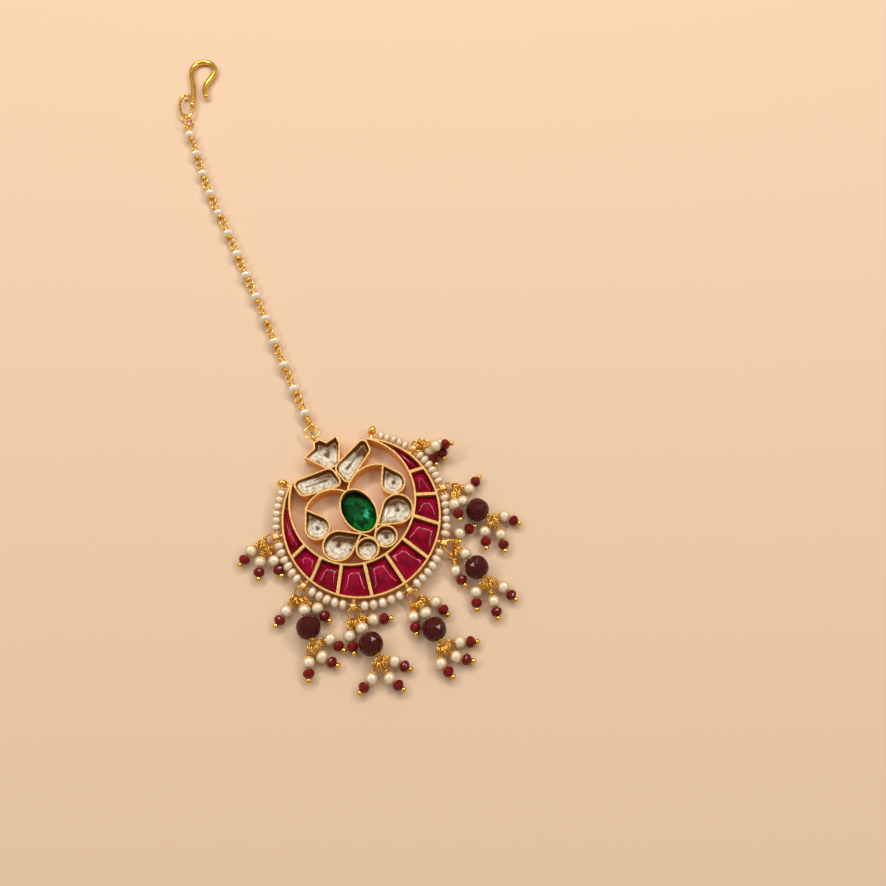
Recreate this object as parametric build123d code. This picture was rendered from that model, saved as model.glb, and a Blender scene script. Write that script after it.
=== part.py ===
from build123d import *

import os
from math import atan2, cos, degrees, hypot, radians, sin, sqrt, tan

# Maang tikka: a jewel worn on the parting of the hair, lying on its back on the plane z = 0.
#
# A crescent pendant set with stones hangs from a hair hook by a chain of pearls. Seed pearls run round
# its rim, and seven drops of pearls, ruby beads and gold balls hang below it. Millimetres, +Z up, +Y from
# the pendant towards the hook. The origin is on the back, behind the centre of the emerald.

# ---- Heights of the pendant's frame and stones -------------------------------------------------------
FRAME_HEIGHT = 3.6      # back to the tops of the walls
BACK = 0.5              # closed back plate under every stone
INLAY_TOP = 3.2         # ruby inlays, below the tops of the walls
STONE_TOP = 3.1         # clear stones
EMERALD_TOP = 3.4
GAP = 0.06              # between a stone and the wall round it
SHOULDER = 0.35         # bevelled edge of a stone's top

# ---- Crescent: two rims, slightly out of round -------------------------------------------------------
RIM_WALL = 0.45
BAR_WIDTH = 0.75
OUTER_CENTRE = (0.0, -1.25)
OUTER_RADII = (18.5, 17.6)      # half of the longer and the shorter axis, to the middle of the wall
INNER_CENTRE = (0.1, 3.1)
INNER_RADII = (15.1, 14.2)
LONG_AXIS = 60                  # degrees from +X to the longer axes
HORN_ANGLE = 33                 # degrees from +Y to each tip of the crescent
INLAY_START = 54                # degrees from +Y to where the first and last inlays begin

# Bars between the ruby cells: degrees from +X, at the outer rim and at the inner rim
BARS = (
    (8.5, -4.0), (-14.0, -26.5), (-37.5, -46.5), (-64.0, -69.5), (-88.0, -89.5),
    (-112.0, -109.0), (-135.5, -128.0), (-156.5, -146.5), (-178.0, -164.5),
)

# ---- Settings inside the crescent. Outlines run along the middle of the bezel wall -------------------
BEZEL_WALL = 0.4
EMERALD_RADII = (3.75, 5.45)

# Cornered stones: name, then a row (x, y, corner radius) for each corner
CORNERED = {
    "crown_stone": (
        (-1.1, 12.1, 0.7), (1.6, 12.2, 0.7), (4.1, 16.5, 0.8), (4.3, 18.5, 0.0), (1.5, 18.2, 0.3),
        (0.6, 19.6, 0.0), (-0.9, 19.7, 0.0), (-1.5, 18.3, 0.3), (-4.4, 17.5, 0.0),
    ),
    "oblong_stone_left": ((-9.7, 13.6, 1.2), (-0.3, 12.3, 1.8), (0.0, 7.1, 1.3), (-9.5, 9.4, 1.6)),
    "oblong_stone_right": ((9.9, 15.1, 1.2), (0.0, 11.9, 1.8), (0.9, 6.6, 1.0), (9.4, 11.3, 1.3)),
}

# Drop-shaped stones: name, tip x, tip y, centre x, centre y and radius of the round end
DROP_STONES = (
    ("small_drop_stone_left", -10.1, 6.2, -9.8, 1.2, 2.7),
    ("small_drop_stone_right", 10.1, 6.7, 10.0, 1.8, 2.65),
    ("large_drop_stone_left", -2.2, -5.0, -7.8, -4.8, 3.4),
    ("large_drop_stone_right", 2.0, -5.1, 7.7, -4.1, 3.4),
)

ROUND_RADIUS = 2.45
ROUND_STONES = (("round_stone_left", -2.6, -8.7), ("round_stone_right", 2.3, -8.3))

# Arches from the emerald over to the small drop stones: start, top and end
ARCHES = (
    ((-0.5, 5.6), (-5.0, 8.1), (-10.1, 6.3)),
    ((0.3, 5.6), (4.8, 8.3), (10.1, 6.8)),
)
# Tail strips below the emerald: start and end
TAILS = (((3.2, -3.2), (-0.1, -7.4)), ((-2.4, -4.7), (-0.1, -7.4)), ((-0.1, -7.2), (-0.15, -8.3)))

# ---- Barrel loops on the rim, and the seed pearls between them ---------------------------------------
LOOP_RADIUS = 1.0
LOOP_BORE = 0.7
LOOP_LENGTH = 1.1
LOOP_HEIGHT = 2.2       # height of the bore
NECK = 0.9              # width of the solder neck that joins a loop to the rim
# Loops clockwise as worn, from the left horn: degrees from +X, and distance out from the rim
LOOPS = (
    (125.8, 2.2), (163.1, 1.85), (201.4, 1.85), (235.6, 1.85), (272.0, 1.85),
    (310.5, 1.85), (349.2, 1.85), (384.0, 1.85), (414.3, 2.6),
)
PEARLS_BETWEEN = (6, 6, 5, 5, 6, 6, 6, 5)
SEED_RADIUS = 1.05
SEED_THICKNESS = 1.5
SEED_ROUNDING = 0.7
SEED_OUT = 1.6          # pearls, out from the rim
SEED_PLAY = 0.48        # their wire lies this far in from the middle of each bore
SEED_WIRE = 0.15        # radius
LOOP_CLEARANCE = 1.3    # from the middle of a loop to where its next pearl may begin

# ---- Drops -------------------------------------------------------------------------------------------
RING_RADIUS = 1.45      # jump ring, to the middle of its wire
RING_WIRE = 0.22
RING_PLAY = 0.12        # a ring's wire stands this far out from the middle of the bore it hangs in
RING_LOW = 1.0          # height of a jump ring's far side
EYE_RADIUS = 0.55       # eye of a cluster, to the middle of its wire
WIRE = 0.2              # radius of a cluster's wire
EYE_PLAY = 0.07         # an eye's centre stands this far out from the wire that it holds
WRAP_RADIUS = 0.45
WRAP_LENGTH = 0.8
KNOT_RADIUS = 0.6       # knot of wire at the end of the wrap
PEARL_RADIUS = 1.4
RUBY_RADIUS = 1.25
RUBY_THICKNESS = 1.9
RUBY_SIDES = 8
RUBY_BEVEL = 0.45
BALL_RADIUS = 0.65
PEARL_TO_RUBY = 2.35
PEARL_TO_BALL = 3.8
PIN_SLOPE = 2           # degrees that a pin runs down from its pearl
BEAD_RADIUS = 2.65
BEAD_LENGTH = 5.0
BEAD_BORE = 0.35
BEAD_BEVEL = 1.1
BEAD_SIDES = 12
BEAD_HEIGHT = 2.7       # height of a large bead's axis
HUB_RADIUS = 0.7        # eye below a large bead, which carries the lower cluster
HUB_WIRE = 0.23
HUB_HEIGHT = 2.1
BEAD_PEARL_HEIGHT = 2.3 # the pearl above a large bead, on the same wire
BEAD_PEARL_GAP = 0.05

# Each drop: its loop, the heading in degrees of the jump ring that hangs from it, and its pins.
# A pin is the x, y and z of its pearl, and the heading in degrees from the pearl to the gold ball.
# A long drop adds the x, y and heading of its large bead, and the pins below it.
DROPS = (
    {"loop": 1, "heading": 176,
     "pins": ((-24.9, 4.8, 1.4, -154), (-24.3, 1.5, 1.4, -122), (-21.5, 0.1, 1.4, -92))},
    {"loop": 2, "heading": 216,
     "pins": ((-24.3, -11.1, 1.4, -154), (-18.25, -14.1, 1.4, -76)),
     "bead": (-21.8, -17.0, -104),
     "lower": ((-19.0, -21.3, 1.4, -70), (-22.2, -23.7, 1.4, -60), (-25.2, -23.2, 1.4, -118))},
    {"loop": 3, "heading": 250,
     "pins": ((-15.2, -22.9, 1.4, -103), (-9.1, -22.5, 1.4, -26)),
     "bead": (-12.1, -26.9, -90),
     "lower": ((-9.5, -32.4, 1.4, -58), (-15.5, -33.0, 1.4, -162), (-12.2, -34.9, 1.4, -69))},
    {"loop": 4, "heading": -80,
     "pins": ((4.5, -26.2, 1.4, -78), (-1.4, -26.4, 1.4, -109)),
     "bead": (1.0, -31.2, -94),
     "lower": ((4.4, -36.2, 1.4, -30), (2.1, -38.4, 1.4, -45), (-1.4, -37.9, 1.4, -78))},
    {"loop": 5, "heading": -52,
     "pins": ((17.1, -15.7, 1.4, -5), (11.8, -22.6, 1.4, -88)),
     "bead": (16.0, -24.5, -84),
     "lower": ((18.9, -31.1, 1.4, -77), (13.1, -28.9, 1.4, -118), (15.4, -32.6, 1.4, -108))},
    {"loop": 6, "heading": -26,
     "pins": ((24.5, -7.9, 1.4, 20), (19.15, -9.9, 4.0, -100)),
     "bead": (23.2, -13.4, -64),
     "lower": ((27.9, -17.5, 1.4, -58), (22.2, -18.3, 1.4, -118), (24.9, -20.8, 1.4, -108))},
    {"loop": 7, "heading": 14,
     "pins": ((22.8, 4.4, 3.9, -20), (24.5, 5.2, 1.4, -105), (21.7, 4.9, 1.4, -98))},
)

# ---- Chain, rings and hook that carry the pendant ----------------------------------------------------
BAIL = (-0.4, 21.2)             # eye soldered to the crown
BAIL_NECK = 19.6                # y where its neck starts, in the crown's wall
BAIL_RADIUS = 0.75
BAIL_WIRE = 0.3
BAIL_RING_RADIUS = 1.75
BAIL_RING_HEADING = 74
CHAIN_PITCH = 7.0
CHAIN_PEARLS = 14
CHAIN_FIRST_PEARL = 3.0         # from the start of the tube
CHAIN_PEARL_RADIUS = 1.45
CHAIN_PEARL_THICKNESS = 1.8
CHAIN_PEARL_ROUNDING = 0.85
CHAIN_TUBE = 0.55
CHAIN_EYE = 0.88
CHAIN_EYE_WIRE = 0.2
# Route of the chain between its end eyes, from the bail ring to the hook ring: x, y and height
CHAIN_ROUTE = (
    (0.64, 25.3, 1.45), (2.4, 42.0, 1.45), (4.9, 58.0, 1.45), (6.3, 72.5, 1.45), (8.0, 86.5, 1.45),
    (9.3, 100.5, 1.45), (12.2, 114.0, 1.45), (13.52, 121.26, 1.5),
)
HOOK_RING_RADIUS = 1.8
HOOK_RING_ROLL = 45             # degrees: one side under the hook's eye, the other over it
HOOK_RING_REACH = 0.88          # from the ring's centre to the wire of the hook's eye
HOOK_WIRE = 0.75                # radius of the hook's wire
HOOK_EYE_WIRE = 0.4             # radius of the wire round its eye
HOOK_EYE_WIDTH = 3.5            # to the middle of the wire
HOOK_EYE_LENGTH = 8.6
HOOK_EYE_HEIGHT = 1.5           # the hook lies on its bend, and the ring lifts its eye
HOOK_ORIGIN = (14.83, 124.57)   # lowest point of the eye
HOOK_HEADING = 68.5             # degrees from +X to the hook's own +y
HOOK_SLOPE = 2.03               # degrees down towards the bend
# Wire of the hook beyond its eye, in its own plane: x and y of points along its middle line
HOOK_ROUTE = (
    (1.64, 4.6), (2.2, 9.0), (2.3, 12.6), (2.1, 16.6), (3.2, 19.6), (5.5, 20.55), (7.8, 19.6),
    (8.75, 17.2), (7.5, 14.1), (5.7, 11.0), (5.45, 9.0), (5.75, 7.2),
)


# ---- Plane geometry ----------------------------------------------------------------------------------
def polar(centre, distance, angle):
    """Point at a distance and heading in degrees from a centre."""
    return (centre[0] + distance * cos(radians(angle)), centre[1] + distance * sin(radians(angle)))


def oval_radius(radii, angle):
    """Radius of a rim at a heading in degrees from its centre."""
    turn = radians(angle - LONG_AXIS)
    return 1 / hypot(cos(turn) / radii[0], sin(turn) / radii[1])


def outer_point(angle, out=0.0):
    """Point on the outer rim, or out from it, at a heading from its centre."""
    return polar(OUTER_CENTRE, oval_radius(OUTER_RADII, angle) + out, angle)


def inner_point(angle):
    return polar(INNER_CENTRE, oval_radius(INNER_RADII, angle), angle)


def oval(centre, radii, grow):
    """Filled rim outline, grown or shrunk by an offset of its wall."""
    return Pos(*centre) * Ellipse(radii[0] + grow, radii[1] + grow, rotation=LONG_AXIS)


def horn_wedge(half_angle):
    """The sector between the horns, which the crescent leaves open."""
    far = 2 * OUTER_RADII[0]
    left = polar(OUTER_CENTRE, far, 90 + half_angle)
    right = polar(OUTER_CENTRE, far, 90 - half_angle)
    return make_face(Polyline(OUTER_CENTRE, right, (0, 2 * far), left, close=True))


def strip(start, end, width):
    """Flat strip with square ends along a straight line."""
    middle = ((start[0] + end[0]) / 2, (start[1] + end[1]) / 2)
    length = hypot(end[0] - start[0], end[1] - start[1])
    turn = degrees(atan2(end[1] - start[1], end[0] - start[0]))
    return Pos(*middle) * Rot(0, 0, turn) * Rectangle(length + width / 2, width)


def cornered_outline(corners):
    points = [(x, y) for x, y, _ in corners]
    return make_face(FilletPolyline(*points, radius=[r for _, _, r in corners], close=True))


def drop_outline(tip_x, tip_y, centre_x, centre_y, radius):
    """Two lines from the tip, tangent to a circle."""
    distance = hypot(tip_x - centre_x, tip_y - centre_y)
    to_tip = degrees(atan2(tip_y - centre_y, tip_x - centre_x))
    spread = degrees(atan2(sqrt(distance**2 - radius**2), radius))
    centre = (centre_x, centre_y)
    left = polar(centre, radius, to_tip + spread)
    right = polar(centre, radius, to_tip - spread)
    far = polar(centre, radius, to_tip + 180)
    round_end = ThreePointArc(left, far, right)
    return make_face([Line((tip_x, tip_y), left), round_end, Line(right, (tip_x, tip_y))])


def stone_settings():
    """Every setting inside the crescent: name to a function of how far to grow its outline."""
    outlines = {name: cornered_outline(corners) for name, corners in CORNERED.items()}
    for name, *row in DROP_STONES:
        outlines[name] = drop_outline(*row)
    for name, x, y in ROUND_STONES:
        outlines[name] = Pos(x, y) * Circle(ROUND_RADIUS)

    def grown(outline):
        return lambda grow, kind=Kind.INTERSECTION: offset(outline, grow, kind=kind)

    settings = {name: grown(outline) for name, outline in outlines.items()}
    settings["emerald"] = lambda grow, kind=None: Ellipse(EMERALD_RADII[0] + grow, EMERALD_RADII[1] + grow)
    return settings


def bar_strips():
    return [strip(outer_point(outer), inner_point(inner), BAR_WIDTH) for outer, inner in BARS]


def ruby_cells():
    """The ten cells between the rims and the bars, from the right horn clockwise as worn."""
    half = RIM_WALL / 2
    cells = oval(OUTER_CENTRE, OUTER_RADII, -half - GAP) - oval(INNER_CENTRE, INNER_RADII, half + GAP)
    cells -= horn_wedge(INLAY_START)
    for outer, inner in BARS:
        cells -= strip(outer_point(outer), inner_point(inner), BAR_WIDTH + 2 * GAP)

    def clockwise(face):
        middle = face.center()
        return (90 - degrees(atan2(middle.Y - OUTER_CENTRE[1], middle.X - OUTER_CENTRE[0]))) % 360

    return sorted(cells.faces(), key=clockwise)


# ---- Solid geometry ----------------------------------------------------------------------------------
def rod(start, end, radius):
    """Round wire between two points."""
    start, end = Vector(*start), Vector(*end)
    along = end - start
    base = (Align.CENTER, Align.CENTER, Align.MIN)
    return Plane(origin=start, z_dir=along) * Cylinder(radius, along.length, align=base)


def ball(centre, along, radius):
    """Ball with its poles on the wire it is threaded on."""
    return Plane(origin=centre, z_dir=along) * Sphere(radius)


def ring(centre, axis, radius, wire):
    return Plane(origin=centre, z_dir=axis) * Torus(radius, wire)


def hung_ring(near, heading, far_height, radius, wire, roll=0):
    """Ring from a near point at a heading to a height at its far side, rolled about that line."""
    slope = (far_height - near[2]) / (2 * radius)
    level = sqrt(1 - slope**2)
    along = Vector(level * cos(radians(heading)), level * sin(radians(heading)), slope)
    axis = along.cross(Vector(-sin(radians(heading)), cos(radians(heading)), 0))
    axis = axis.rotate(Axis((0, 0, 0), along), roll)
    return ring(Vector(*near) + along * radius, axis, radius, wire)


def fuse_all(shapes):
    first, *rest = shapes
    return first.fuse(*rest)


def prism_bead(radius, length, sides, bevel, bore=0.0):
    """Faceted bead along +Z, centred on the origin."""
    bead = extrude(RegularPolygon(radius, sides), length / 2, both=True)
    ends = bead.faces().sort_by(Axis.Z)
    bead = chamfer(ends[0].edges() + ends[-1].edges(), bevel)
    return bead - Cylinder(bore, 2 * length) if bore else bead


# ---- Pendant -----------------------------------------------------------------------------------------
def loop_place(number):
    """Middle of a rim loop's bore, and its heading out from the rim."""
    angle, out = LOOPS[number]
    x, y = outer_point(angle, out)
    return (x, y, LOOP_HEIGHT), angle


def rim_loop(number):
    """Barrel loop, its bore along the rim, on a solder neck."""
    centre, angle = loop_place(number)
    along_rim = Vector(-sin(radians(angle)), cos(radians(angle)), 0)
    barrel = Plane(origin=centre, z_dir=along_rim) * Cylinder(LOOP_RADIUS, LOOP_LENGTH)
    bore = Plane(origin=centre, z_dir=along_rim) * Cylinder(LOOP_BORE, 2 * LOOP_LENGTH)
    root = (*outer_point(angle), LOOP_HEIGHT)
    neck_end = (*outer_point(angle, LOOPS[number][1] - LOOP_BORE - 0.1), LOOP_HEIGHT)
    return (barrel + rod(root, neck_end, NECK / 2)) - bore


def bail():
    """Eye on the crown, standing upright along the pendant."""
    centre = (*BAIL, LOOP_HEIGHT)
    crown = (BAIL[0], BAIL_NECK, LOOP_HEIGHT)
    neck_end = (BAIL[0], BAIL[1] - BAIL_RADIUS, LOOP_HEIGHT)
    return ring(centre, (1, 0, 0), BAIL_RADIUS, BAIL_WIRE) + rod(crown, neck_end, BAIL_WIRE)


def pendant_frame(settings):
    """All the soldered gold: rims, bars, bezels, arches, tails, back plates, loops and bail."""
    half = RIM_WALL / 2
    crescent = oval(OUTER_CENTRE, OUTER_RADII, half) - oval(INNER_CENTRE, INNER_RADII, -half)
    crescent -= horn_wedge(HORN_ANGLE)
    hollow = oval(OUTER_CENTRE, OUTER_RADII, -half) - oval(INNER_CENTRE, INNER_RADII, half)
    walls = crescent - hollow
    for bar in bar_strips():
        walls += bar
    back = crescent
    inside = Sketch()
    for setting in settings.values():
        outside = setting(BEZEL_WALL / 2, Kind.ARC)
        walls += outside
        back += outside
        inside += setting(-BEZEL_WALL / 2)
    for start, top, end in ARCHES:
        walls += trace(ThreePointArc(start, top, end), BEZEL_WALL)
    for start, end in TAILS:
        walls += strip(start, end, BEZEL_WALL)
    walls -= inside
    frame = extrude(walls, FRAME_HEIGHT) + extrude(back, BACK)
    for number in range(len(LOOPS)):
        frame += rim_loop(number)
    return frame + bail()


def seated_stone(area, top):
    """Flat-topped stone with a bevelled edge, on the back plate."""
    stone = Pos(0, 0, BACK) * extrude(area, top - BACK)
    return chamfer(stone.faces().sort_by(Axis.Z)[-1].edges(), SHOULDER)


def rim_pearl_string():
    """Seed pearls on one wire that runs through the bores of all the rim loops."""
    pearl = Cylinder(SEED_RADIUS, SEED_THICKNESS)
    pearl = fillet(pearl.edges(), SEED_ROUNDING)
    clear = degrees(LOOP_CLEARANCE / OUTER_RADII[0])
    pieces = []
    route = []
    for number, (angle, out) in enumerate(LOOPS):
        at_horn = number in (0, len(PEARLS_BETWEEN))
        route.append((*outer_point(angle, out if at_horn else out - SEED_PLAY), LOOP_HEIGHT))
        if number == len(PEARLS_BETWEEN):
            break
        count = PEARLS_BETWEEN[number]
        spacing = (LOOPS[number + 1][0] - angle - 2 * clear) / count
        for k in range(count):
            stop = angle + clear + spacing * (k + 0.5)
            place = (*outer_point(stop, SEED_OUT), LOOP_HEIGHT)
            along_rim = (-sin(radians(stop)), cos(radians(stop)), 0)
            pieces.append(Plane(origin=place, z_dir=along_rim) * pearl)
            route.append(place)
    pieces += [rod(a, b, SEED_WIRE) for a, b in zip(route, route[1:])]
    return fuse_all(pieces)


# ---- Drops -------------------------------------------------------------------------------------------
def ring_start(drop):
    """Near point of a drop's jump ring, in the bore of its loop."""
    (x, y, z), _ = loop_place(drop["loop"])
    return (*polar((x, y), RING_PLAY, drop["heading"]), z)


def jump_ring(drop):
    return hung_ring(ring_start(drop), drop["heading"], RING_LOW, RING_RADIUS, RING_WIRE)


def jump_ring_far_point(drop):
    near = ring_start(drop)
    level = sqrt((2 * RING_RADIUS)**2 - (near[2] - RING_LOW)**2)
    return (*polar(near, level, drop["heading"]), RING_LOW)


def hanger(held, heading):
    """Eye round a wire, the wrap beyond it and a knot, with the middle of the knot."""
    eye = (*polar(held, EYE_PLAY, heading), held[2])
    side = (-sin(radians(heading)), cos(radians(heading)), 0)
    start = (*polar(eye, EYE_RADIUS, heading), held[2])
    knot = (*polar(start, WRAP_LENGTH, heading), held[2])
    pieces = [ring(eye, side, EYE_RADIUS, WIRE), rod(start, knot, WRAP_RADIUS)]
    along = (cos(radians(heading)), sin(radians(heading)), 0)
    return pieces + [ball(knot, along, KNOT_RADIUS)], knot


def leave(knot, target):
    """Point inside a knot where the wire to a target starts."""
    start, end = Vector(*knot), Vector(*target)
    return start + (end - start).normalized() * (0.65 * KNOT_RADIUS)


def head_pin(knot, pearl, heading):
    """Pearl, ruby bead and gold ball on a pin, and the wire that carries them."""
    slope = radians(PIN_SLOPE)
    along = Vector(cos(radians(heading)) * cos(slope), sin(radians(heading)) * cos(slope), -sin(slope))
    middle = Vector(*pearl)
    tip = middle + along * PEARL_TO_BALL
    ruby = prism_bead(RUBY_RADIUS, RUBY_THICKNESS, RUBY_SIDES, RUBY_BEVEL)
    return [
        rod(leave(knot, pearl), middle + (Vector(*knot) - middle).normalized() * 0.5, WIRE),
        ball(middle, along, PEARL_RADIUS),
        rod(middle + along * 0.5, tip, WIRE),
        Plane(origin=middle + along * PEARL_TO_RUBY, z_dir=along) * ruby,
        ball(tip, along, BALL_RADIUS),
    ]


def cluster(held, heading, pins):
    """The pins that hang from one wire, with the middle of their knot."""
    pieces, knot = hanger(held, heading)
    for x, y, z, pin_heading in pins:
        pieces += head_pin(knot, (x, y, z), pin_heading)
    return pieces, knot


def large_bead(drop):
    x, y, heading = drop["bead"]
    bead = prism_bead(BEAD_RADIUS, BEAD_LENGTH, BEAD_SIDES, BEAD_BEVEL, BEAD_BORE)
    return Plane(origin=(x, y, BEAD_HEIGHT), z_dir=(cos(radians(heading)), sin(radians(heading)), 0)) * bead


def bead_wire(knot, drop):
    """Wire from a knot through a pearl and a large bead to a flat eye, and where that eye is held."""
    x, y, heading = drop["bead"]
    half = BEAD_LENGTH / 2
    pearl = (*polar((x, y), -half - BEAD_PEARL_GAP - PEARL_RADIUS, heading), BEAD_PEARL_HEIGHT)
    upper = (*polar((x, y), -half, heading), BEAD_HEIGHT)
    lower = (*polar((x, y), half + 0.1, heading), BEAD_HEIGHT)
    hub_edge = (*polar((x, y), half + 0.3, heading), HUB_HEIGHT)
    hub = (*polar(hub_edge, HUB_RADIUS, heading), HUB_HEIGHT)
    route = [leave(knot, pearl), pearl, upper, lower, hub_edge]
    pieces = [rod(a, b, WIRE) for a, b in zip(route, route[1:])]
    back = (-cos(radians(heading)), -sin(radians(heading)), 0)
    hub_eye = Plane(origin=hub, x_dir=back, z_dir=(0, 0, 1)) * Torus(HUB_RADIUS, HUB_WIRE)
    along = (cos(radians(heading)), sin(radians(heading)), 0)
    pieces += [ball(pearl, along, PEARL_RADIUS), hub_eye]
    return pieces, (*polar(hub, HUB_RADIUS, heading), HUB_HEIGHT)


def drop_nodes(number, drop):
    """Every node of one drop."""
    name = f"drop_{number}"
    pieces, knot = cluster(jump_ring_far_point(drop), drop["heading"], drop["pins"])
    nodes = {f"{name}_jump_ring": jump_ring(drop)}
    if "bead" in drop:
        wire, lower_held = bead_wire(knot, drop)
        pieces += wire
        lower, _ = cluster(lower_held, drop["bead"][2], drop["lower"])
        nodes[f"{name}_large_bead"] = large_bead(drop)
        nodes[f"{name}_lower_cluster"] = fuse_all(lower)
    nodes[f"{name}_cluster"] = fuse_all(pieces)
    return nodes


# ---- Chain, rings and hook ---------------------------------------------------------------------------
def route_radii(points):
    """Largest even bend at each corner of a route."""
    radii = []
    for before, here, after in zip(points, points[1:], points[2:]):
        runs = (Vector(*here) - Vector(*before), Vector(*after) - Vector(*here))
        turn = runs[0].get_angle(runs[1])
        radii.append(0.45 * min(runs[0].length, runs[1].length) / tan(radians(turn / 2)))
    return radii


def chain_path():
    return FilletPolyline(*CHAIN_ROUTE, radius=route_radii(CHAIN_ROUTE))


def pearl_chain():
    """Linked pearls: a tube along the chain's route with its pearls, and an eye at each end."""
    path = chain_path()
    section = Plane(origin=path @ 0, z_dir=path % 0) * Circle(CHAIN_TUBE)
    pieces = [sweep(section, path=path)]
    pearl = Cylinder(CHAIN_PEARL_RADIUS, CHAIN_PEARL_THICKNESS)
    pearl = fillet(pearl.edges(), CHAIN_PEARL_ROUNDING)
    for k in range(CHAIN_PEARLS):
        stop = CHAIN_FIRST_PEARL + CHAIN_PITCH * k
        place = path.position_at(stop, position_mode=PositionMode.LENGTH)
        along = path.tangent_at(stop, position_mode=PositionMode.LENGTH)
        pieces.append(Plane(origin=place, z_dir=along) * pearl)
    for end, outward in ((path @ 0, path % 0 * -1), (path @ 1, path % 1)):
        side = (-outward.Y, outward.X, 0)
        pieces.append(ring(end + outward * CHAIN_EYE, side, CHAIN_EYE, CHAIN_EYE_WIRE))
    return fuse_all(pieces)


def bail_ring():
    near = (*polar(BAIL, RING_PLAY, BAIL_RING_HEADING), LOOP_HEIGHT)
    far_height = CHAIN_ROUTE[0][2]
    return hung_ring(near, BAIL_RING_HEADING, far_height, BAIL_RING_RADIUS, RING_WIRE)


def hook_ring():
    near = (*polar(HOOK_ORIGIN, -HOOK_RING_REACH - HOOK_RING_RADIUS, HOOK_HEADING), HOOK_EYE_HEIGHT)
    return hung_ring(near, HOOK_HEADING, HOOK_EYE_HEIGHT, HOOK_RING_RADIUS, RING_WIRE, HOOK_RING_ROLL)


def hair_hook():
    """Hook bent from one wire: a closed eye, a shank, a round bend and a turned-out tip."""
    outline = Ellipse(HOOK_EYE_WIDTH / 2, HOOK_EYE_LENGTH / 2)
    eye_path = (Pos(0, HOOK_EYE_LENGTH / 2) * outline).wires()[0]
    eye = sweep(Plane(origin=eye_path @ 0, z_dir=eye_path % 0) * Circle(HOOK_EYE_WIRE), path=eye_path)
    path = Spline(*HOOK_ROUTE)
    shank = sweep(Plane(origin=path @ 0, z_dir=path % 0) * Circle(HOOK_WIRE), path=path)
    ends = [Pos(*end) * Sphere(HOOK_WIRE) for end in (path @ 0, path @ 1)]
    hook = fuse_all([shank, eye] + ends)
    slope = Rot(-HOOK_SLOPE, 0, 0)
    return Pos(*HOOK_ORIGIN, HOOK_EYE_HEIGHT) * Rot(0, 0, HOOK_HEADING - 90) * slope * hook


def build():
    settings = stone_settings()
    nodes = {"pendant_frame": pendant_frame(settings)}
    for number, cell in enumerate(ruby_cells(), start=1):
        nodes[f"ruby_inlay_{number}"] = seated_stone(cell, INLAY_TOP)
    for name, setting in settings.items():
        area = setting(-BEZEL_WALL / 2 - GAP)
        nodes[name] = seated_stone(area, EMERALD_TOP if name == "emerald" else STONE_TOP)
    nodes["rim_pearl_string"] = rim_pearl_string()
    nodes["bail_ring"] = bail_ring()
    nodes["pearl_chain"] = pearl_chain()
    nodes["hook_ring"] = hook_ring()
    nodes["hair_hook"] = hair_hook()
    for number, drop in enumerate(DROPS, start=1):
        nodes.update(drop_nodes(number, drop))
    return nodes


def main():
    os.makedirs("parts", exist_ok=True)
    for name, shape in build().items():
        export_step(shape, f"parts/{name}.step")


main()
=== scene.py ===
import random
from math import cos, hypot, pi, radians, sin, sqrt

import bmesh
import bpy
from mathutils import Matrix, Quaternion, Vector, geometry

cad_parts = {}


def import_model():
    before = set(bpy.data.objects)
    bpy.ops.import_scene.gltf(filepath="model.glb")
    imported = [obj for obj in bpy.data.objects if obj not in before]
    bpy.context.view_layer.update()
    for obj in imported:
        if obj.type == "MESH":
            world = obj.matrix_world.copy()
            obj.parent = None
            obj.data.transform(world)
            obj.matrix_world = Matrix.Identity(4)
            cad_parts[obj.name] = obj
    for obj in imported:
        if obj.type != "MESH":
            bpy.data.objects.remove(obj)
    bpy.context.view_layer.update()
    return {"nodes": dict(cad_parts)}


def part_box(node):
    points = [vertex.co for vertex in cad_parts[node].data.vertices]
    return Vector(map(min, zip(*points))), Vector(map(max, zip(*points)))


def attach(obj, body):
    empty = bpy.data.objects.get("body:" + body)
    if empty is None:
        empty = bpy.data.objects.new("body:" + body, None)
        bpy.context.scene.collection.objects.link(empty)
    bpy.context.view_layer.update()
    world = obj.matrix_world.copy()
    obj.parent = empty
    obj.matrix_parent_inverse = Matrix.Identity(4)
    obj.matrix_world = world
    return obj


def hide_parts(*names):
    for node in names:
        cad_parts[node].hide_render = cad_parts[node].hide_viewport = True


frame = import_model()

# The looks of the maang tikka. Sizes and places are in millimetres, in the frame of the CAD model, and
# become metres where a mesh is made. Z is up, Y runs from the pendant to the hook.

MM = 0.001
UP = Vector((0, 0, 1))
random.seed(7)


def placed(name, data):
    """A new object in the scene, with the given data."""
    made = bpy.data.objects.new(name, data)
    bpy.context.collection.objects.link(made)
    return made


def jitter(limit):
    return random.uniform(-limit, limit)


# ---- Camera, lights and floor ------------------------------------------------------------------------
CAMERA_PLACE = (-15.4, -54.1, 179.4)
CAMERA_HEADING = -34.56     # degrees about +Z
CAMERA_TILT = 21.94         # degrees from straight down
CAMERA_ROLL = 3.45
CAMERA_LENS = 33.1
CAMERA_SENSOR = 36
CAMERA_NEAR = 0.005         # metres

FLOOR_COLOUR = (0.817, 0.616, 0.443)
FLOOR_REACH = 2.5           # metres from the middle to each side
SKY_COLOUR = (1, 0.95, 0.88)
SKY_STRENGTH = 0.34
LAMP_COLOUR = (1, 0.94, 0.86)
LAMP_AZIMUTH = 31           # degrees from +Y towards +X
# Elevation in degrees, distance and size in metres, and power in watts
PANEL = (68, 0.75, (0.5, 0.5), 0.3)
STRIP = (48, 0.6, (0.4, 0.04), 0.65)
STRIP_TURNS = (-78, -39, 0, 39, 78)


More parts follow.
